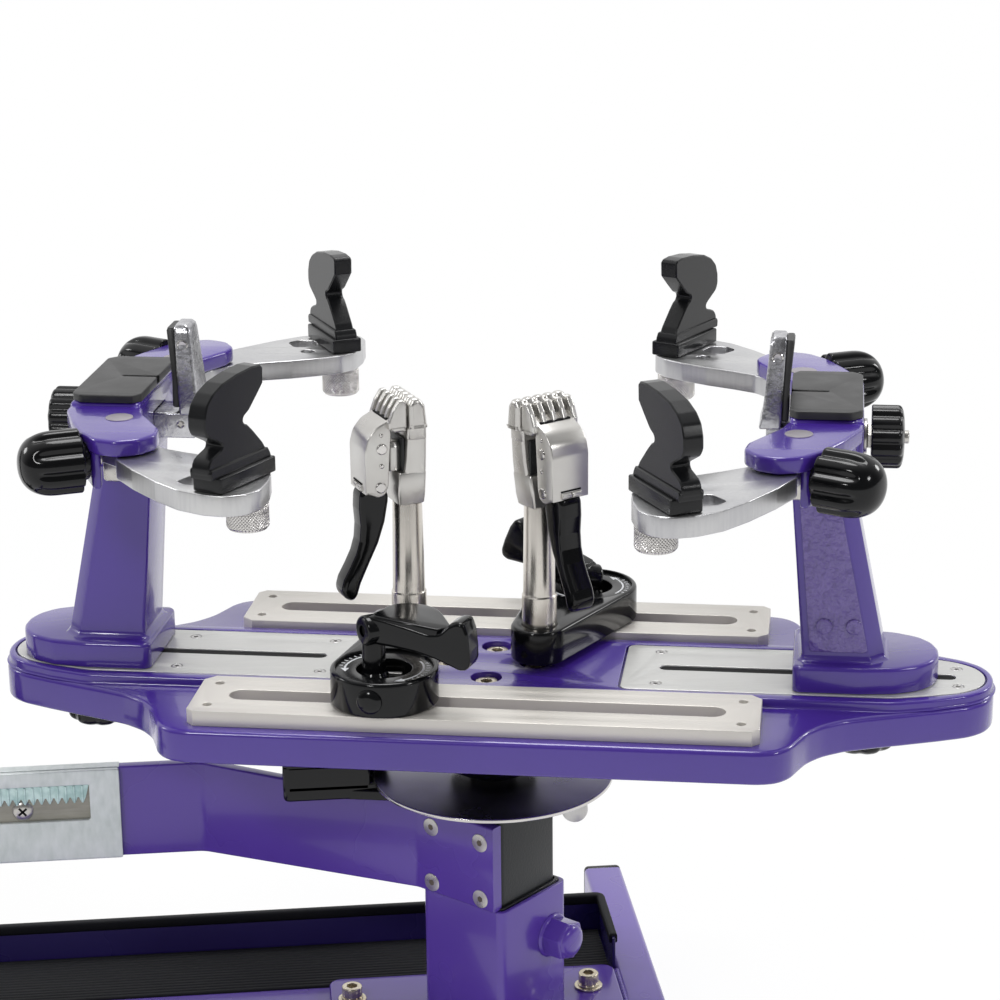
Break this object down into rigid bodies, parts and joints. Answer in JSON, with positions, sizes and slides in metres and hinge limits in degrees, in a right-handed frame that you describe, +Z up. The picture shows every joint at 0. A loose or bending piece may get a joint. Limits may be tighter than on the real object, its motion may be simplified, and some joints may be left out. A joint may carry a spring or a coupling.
{
  "type": "racket stringing machine",
  "caption": "Table-top racket stringing machine: turntable with two frame towers and two string clamps on a height-adjustable column, with a crank tension head on a side arm.",
  "frame": {"origin": "on the bench, under the axis that the turntable turns about", "axes": "+X along the base beam and the arm's outer run, away from the tension head; +Y away from the operator; +Z up"},
  "size_m": [0.6747, 0.3441, 0.3975],
  "materials": {
    "paint": "gloss",
    "black_plastic": "gloss",
    "black_paint": "textured satin",
    "rubber": "matte",
    "zinc": "zinc plated",
    "steel": "satin",
    "aluminium": "anodised satin"
  },
  "bodies": {
    "base": {"base_frame": "paint", "foot_cap_front_left": "black_plastic", "foot_cap_front_right": "black_plastic", "foot_cap_rear_left": "black_plastic", "foot_cap_rear_right": "black_plastic", "tool_tray": "paint", "tray_mat": "rubber", "outer_column": "paint"},
    "lift": {"inner_column": "black_paint", "tension_arm": "paint", "rack_plate": "zinc", "brake_body": "black_plastic"},
    "brake lever": {"brake_lever": "steel"},
    "tension head": {"tension_head": "black_plastic"},
    "string gripper": {"string_gripper": "steel"},
    "tension crank": {"tension_crank": "black_plastic"},
    "turntable": {"turntable_body": "paint", "clamp_rail_front": "aluminium", "clamp_rail_rear": "aluminium", "end_plate_right": "aluminium", "end_plate_left": "aluminium", "brake_disc": "steel"},
    "left tower": {"tower_left": "paint", "top_pad_left": "rubber"},
    "left lock knob": {"lock_knob_left": "black_plastic"},
    "left centre bracket": {"centre_bracket_left": "zinc", "bracket_pad_left": "rubber"},
    "left centre knob": {"centre_knob_left": "black_plastic"},
    "left front arm": {"side_arm_left_front": "aluminium"},
    "left front side knob": {"side_knob_left_front": "black_plastic"},
    "left front jaw": {"jaw_left_front": "black_plastic"},
    "left rear arm": {"side_arm_left_rear": "aluminium"},
    "left rear side knob": {"side_knob_left_rear": "black_plastic"},
    "left rear jaw": {"jaw_left_rear": "black_plastic"},
    "right tower": {"tower_right": "paint", "top_pad_right": "rubber"},
    "right lock knob": {"lock_knob_right": "black_plastic"},
    "right centre bracket": {"centre_bracket_right": "zinc", "bracket_pad_right": "rubber"},
    "right centre knob": {"centre_knob_right": "black_plastic"},
    "right front arm": {"side_arm_right_front": "aluminium"},
    "right front side knob": {"side_knob_right_front": "black_plastic"},
    "right front jaw": {"jaw_right_front": "black_plastic"},
    "right rear arm": {"side_arm_right_rear": "aluminium"},
    "right rear side knob": {"side_knob_right_rear": "black_plastic"},
    "right rear jaw": {"jaw_right_rear": "black_plastic"},
    "left clamp carriage": {"slide_nut_left": "zinc", "clamp_base_left": "black_plastic"},
    "left cam lever": {"cam_lever_left": "black_plastic"},
    "left clamp head": {"clamp_post_left": "steel", "clamp_head_left": "steel"},
    "left clamp jaw": {"clamp_jaw_left": "steel"},
    "left clamp handle": {"clamp_handle_left": "black_plastic"},
    "right clamp carriage": {"slide_nut_right": "zinc", "clamp_base_right": "black_plastic"},
    "right cam lever": {"cam_lever_right": "black_plastic"},
    "right clamp head": {"clamp_post_right": "steel", "clamp_head_right": "steel"},
    "right clamp jaw": {"clamp_jaw_right": "steel"},
    "right clamp handle": {"clamp_handle_right": "black_plastic"}
  },
  "joints": [
    {"name": "column_lift", "type": "slide", "parent": "base", "child": "lift", "axis": [0, 0, 1], "range_m": [0, 0.04]},
    {"name": "turntable_spin", "type": "hinge", "parent": "lift", "child": "turntable", "pos_m": [0, 0, 0.165], "axis": [0, 0, 1], "continuous": true},
    {"name": "brake_lever_swing", "type": "hinge", "parent": "lift", "child": "brake lever", "pos_m": [-0.066, 0.038, 0.155], "axis": [0, 0, 1], "range_deg": [0, 12]},
    {"name": "tension_head_travel", "type": "slide", "parent": "lift", "child": "tension head", "axis": [1, 0, 0], "range_m": [-0.05, 0.055]},
    {"name": "string_gripper_grip", "type": "slide", "parent": "tension head", "child": "string gripper", "axis": [0, -1, 0], "range_m": [0, 0.004]},
    {"name": "crank_turn", "type": "hinge", "parent": "tension head", "child": "tension crank", "pos_m": [-0.345, 0.038, 0.128], "axis": [0, -1, 0], "range_deg": [-245, 268]},
    {"name": "left_tower_slide", "type": "slide", "parent": "turntable", "child": "left tower", "axis": [-0.9744, 0.225, 0], "range_m": [-0.012, 0.022]},
    {"name": "left_lock_knob_turn", "type": "hinge", "parent": "left tower", "child": "left lock knob", "pos_m": [-0.18513, 0.04274, 0.2], "axis": [0, 0, 1], "continuous": true},
    {"name": "left_bracket_slide", "type": "slide", "parent": "left tower", "child": "left centre bracket", "axis": [0.9744, -0.225, 0], "range_m": [-0.008, 0.007]},
    {"name": "left_centre_knob_turn", "type": "hinge", "parent": "left tower", "child": "left centre knob", "pos_m": [-0.1939, 0.04477, 0.342], "axis": [0.9744, -0.225, 0], "range_deg": [-1925, 1685]},
    {"name": "left_front_arm_swing", "type": "hinge", "parent": "left tower", "child": "left front arm", "pos_m": [-0.16707, -0.01685, 0.345], "axis": [0, 0, -1], "range_deg": [-6, 11.5]},
    {"name": "left_front_side_knob_turn", "type": "hinge", "parent": "left tower", "child": "left front side knob", "pos_m": [-0.1861, -0.04016, 0.3452], "axis": [-0.9703, -0.2419, 0], "range_deg": [-460, 875]},
    {"name": "left_front_jaw_swivel", "type": "hinge", "parent": "left front arm", "child": "left front jaw", "pos_m": [-0.11218, -0.08802, 0.349], "axis": [0, 0, 1], "range_deg": [-20, 20]},
    {"name": "left_rear_arm_swing", "type": "hinge", "parent": "left tower", "child": "left rear arm", "pos_m": [-0.14278, 0.08838, 0.345], "axis": [0, 0, 1], "range_deg": [-6, 11.5]},
    {"name": "left_rear_side_knob_turn", "type": "hinge", "parent": "left tower", "child": "left rear side knob", "pos_m": [-0.14966, 0.11768, 0.3452], "axis": [-0.766, 0.6428, 0], "range_deg": [-460, 875]},
    {"name": "left_rear_jaw_swivel", "type": "hinge", "parent": "left rear arm", "child": "left rear jaw", "pos_m": [-0.06224, 0.12829, 0.349], "axis": [0, 0, 1], "range_deg": [-20, 20]},
    {"name": "right_tower_slide", "type": "slide", "parent": "turntable", "child": "right tower", "axis": [0.9744, -0.225, 0], "range_m": [-0.012, 0.038]},
    {"name": "right_lock_knob_turn", "type": "hinge", "parent": "right tower", "child": "right lock knob", "pos_m": [0.16857, -0.03892, 0.2], "axis": [0, 0, 1], "continuous": true},
    {"name": "right_bracket_slide", "type": "slide", "parent": "right tower", "child": "right centre bracket", "axis": [-0.9744, 0.225, 0], "range_m": [0, 0.01]},
    {"name": "right_centre_knob_turn", "type": "hinge", "parent": "right tower", "child": "right centre knob", "pos_m": [0.17734, -0.04094, 0.342], "axis": [-0.9744, 0.225, 0], "range_deg": [-5, 2405]},
    {"name": "right_front_arm_swing", "type": "hinge", "parent": "right tower", "child": "right front arm", "pos_m": [0.12621, -0.08456, 0.345], "axis": [0, 0, 1], "range_deg": [-17, 0.3]},
    {"name": "right_front_side_knob_turn", "type": "hinge", "parent": "right tower", "child": "right front side knob", "pos_m": [0.1331, -0.11386, 0.3452], "axis": [0.766, -0.6428, 0], "range_deg": [-1290, 30]},
    {"name": "right_front_jaw_swivel", "type": "hinge", "parent": "right front arm", "child": "right front jaw", "pos_m": [0.05524, -0.13972, 0.349], "axis": [0, 0, 1], "range_deg": [-20, 20]},
    {"name": "right_rear_arm_swing", "type": "hinge", "parent": "right tower", "child": "right rear arm", "pos_m": [0.15051, 0.02067, 0.345], "axis": [0, 0, -1], "range_deg": [-11.6, 5.9]},
    {"name": "right_rear_side_knob_turn", "type": "hinge", "parent": "right tower", "child": "right rear side knob", "pos_m": [0.16954, 0.04399, 0.3452], "axis": [0.9703, 0.2419, 0], "range_deg": [-880, 450]},
    {"name": "right_rear_jaw_swivel", "type": "hinge", "parent": "right rear arm", "child": "right rear jaw", "pos_m": [0.10282, 0.09686, 0.349], "axis": [0, 0, 1], "range_deg": [-20, 20]},
    {"name": "left_clamp_slide", "type": "slide", "parent": "turntable", "child": "left clamp carriage", "axis": [-0.9744, 0.225, 0], "range_m": [0, 0.03]},
    {"name": "left_cam_lever_turn", "type": "hinge", "parent": "left clamp carriage", "child": "left cam lever", "pos_m": [-0.05802, -0.04859, 0.26], "axis": [0, 0, 1], "range_deg": [-45, 65]},
    {"name": "left_clamp_swivel", "type": "hinge", "parent": "left clamp carriage", "child": "left clamp head", "pos_m": [-0.03778, 0.00975, 0.27], "axis": [0, 0, 1], "range_deg": [-30, 30]},
    {"name": "left_clamp_jaw_open", "type": "slide", "parent": "left clamp head", "child": "left clamp jaw", "axis": [-0.9563, -0.2924, 0], "range_m": [0, 0.0015]},
    {"name": "left_clamp_handle_pull", "type": "hinge", "parent": "left clamp jaw", "child": "left clamp handle", "pos_m": [-0.05575, 0.00425, 0.316], "axis": [-0.2924, 0.9563, 0], "range_deg": [0, 25]},
    {"name": "right_clamp_slide", "type": "slide", "parent": "turntable", "child": "right clamp carriage", "axis": [0.9744, -0.225, 0], "range_m": [0, 0.03]},
    {"name": "right_cam_lever_turn", "type": "hinge", "parent": "right clamp carriage", "child": "right cam lever", "pos_m": [0.05207, 0.04997, 0.25], "axis": [0, 0, 1], "range_deg": [-60, 45]},
    {"name": "right_clamp_swivel", "type": "hinge", "parent": "right clamp carriage", "child": "right clamp head", "pos_m": [0.02215, -0.00409, 0.27], "axis": [0, 0, 1], "range_deg": [-30, 30]},
    {"name": "right_clamp_jaw_open", "type": "slide", "parent": "right clamp head", "child": "right clamp jaw", "axis": [0.515, -0.8572, 0], "range_m": [0, 0.0015]},
    {"name": "right_clamp_handle_pull", "type": "hinge", "parent": "right clamp jaw", "child": "right clamp handle", "pos_m": [0.03183, -0.0202, 0.316], "axis": [-0.8572, -0.515, 0], "range_deg": [0, 25]}
  ],
  "couplings": [
    {"joint": "crank_turn", "follows": "tension_head_travel", "rad_per_m": 83.333},
    {"joint": "left_centre_knob_turn", "follows": "left_bracket_slide", "rad_per_m": 4188.8},
    {"joint": "left_front_side_knob_turn", "follows": "left_front_arm_swing", "ratio": 75.4},
    {"joint": "left_rear_side_knob_turn", "follows": "left_rear_arm_swing", "ratio": 75.4},
    {"joint": "right_centre_knob_turn", "follows": "right_bracket_slide", "rad_per_m": 4188.8},
    {"joint": "right_front_side_knob_turn", "follows": "right_front_arm_swing", "ratio": 75.4},
    {"joint": "right_rear_side_knob_turn", "follows": "right_rear_arm_swing", "ratio": 75.4},
    {"joint": "left_clamp_handle_pull", "follows": "left_clamp_jaw_open", "rad_per_m": 290.89},
    {"joint": "right_clamp_handle_pull", "follows": "right_clamp_jaw_open", "rad_per_m": 290.89}
  ]
}
